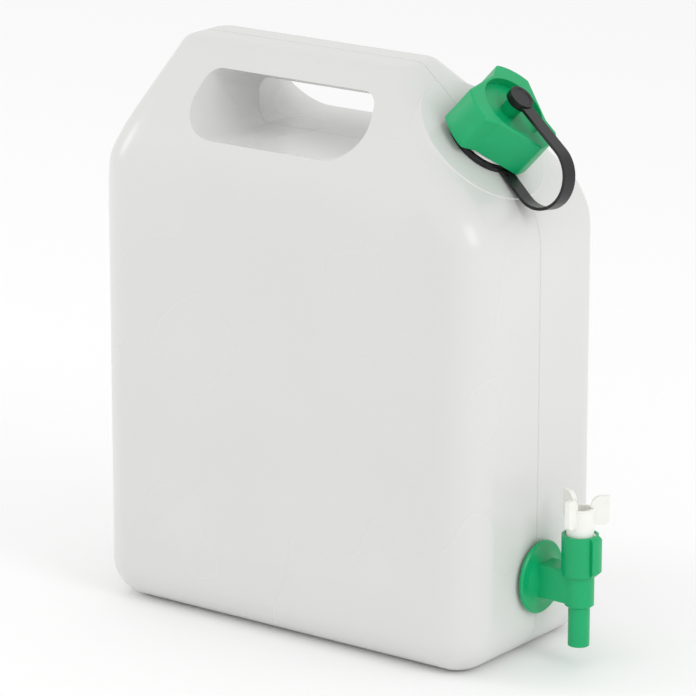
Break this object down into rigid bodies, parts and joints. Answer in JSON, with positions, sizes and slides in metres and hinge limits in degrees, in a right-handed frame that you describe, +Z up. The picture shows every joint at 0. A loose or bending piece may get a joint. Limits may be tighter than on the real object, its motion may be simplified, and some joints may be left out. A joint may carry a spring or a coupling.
{
  "type": "carboy with spigot",
  "caption": "Flat translucent carboy with a hand hole, a winged screw cap on a looped strap and a quarter-turn tap low on one end face.",
  "frame": {"origin": "middle of the flat base of the can", "axes": "+X towards the end face with the tap, +Y through the thin side of the can, +Z up"},
  "size_m": [0.3256, 0.1408, 0.3513],
  "materials": {
    "natural_polyethylene": "satin",
    "green_plastic": "satin",
    "black_plastic": "satin",
    "white_plastic": "satin",
    "seal_foam": "matt",
    "gasket_rubber": "matt"
  },
  "bodies": {
    "can": {"can": "natural_polyethylene", "tap_body": "green_plastic", "tap_gasket": "gasket_rubber"},
    "cap_seal": {"cap_seal": "seal_foam"},
    "cap": {"cap": "green_plastic"},
    "strap": {"strap": "black_plastic"},
    "tap_key": {"tap_key": "white_plastic"}
  },
  "joints": [
    {"name": "cap_lift", "type": "slide", "parent": "can", "child": "cap_seal", "axis": [0.6878, 0, 0.7259], "range_m": [0, 0.0181], "deforming": ["strap"]},
    {"name": "cap_turn", "type": "hinge", "parent": "cap_seal", "child": "cap", "pos_m": [0.09823, 0, 0.30942], "axis": [0.6878, 0, 0.7259], "range_deg": [0, 1296]},
    {"name": "strap_swing", "type": "hinge", "parent": "can", "child": "strap", "pos_m": [0.09823, 0, 0.30942], "axis": [0.6878, 0, 0.7259], "continuous": true},
    {"name": "key_turn", "type": "hinge", "parent": "can", "child": "tap_key", "pos_m": [0.17065, 0, 0.06], "axis": [0, 0, 1], "range_deg": [0, 90]}
  ],
  "couplings": [
    {"joint": "cap_lift", "follows": "cap_turn", "m_per_rad": 0.00079577}
  ]
}
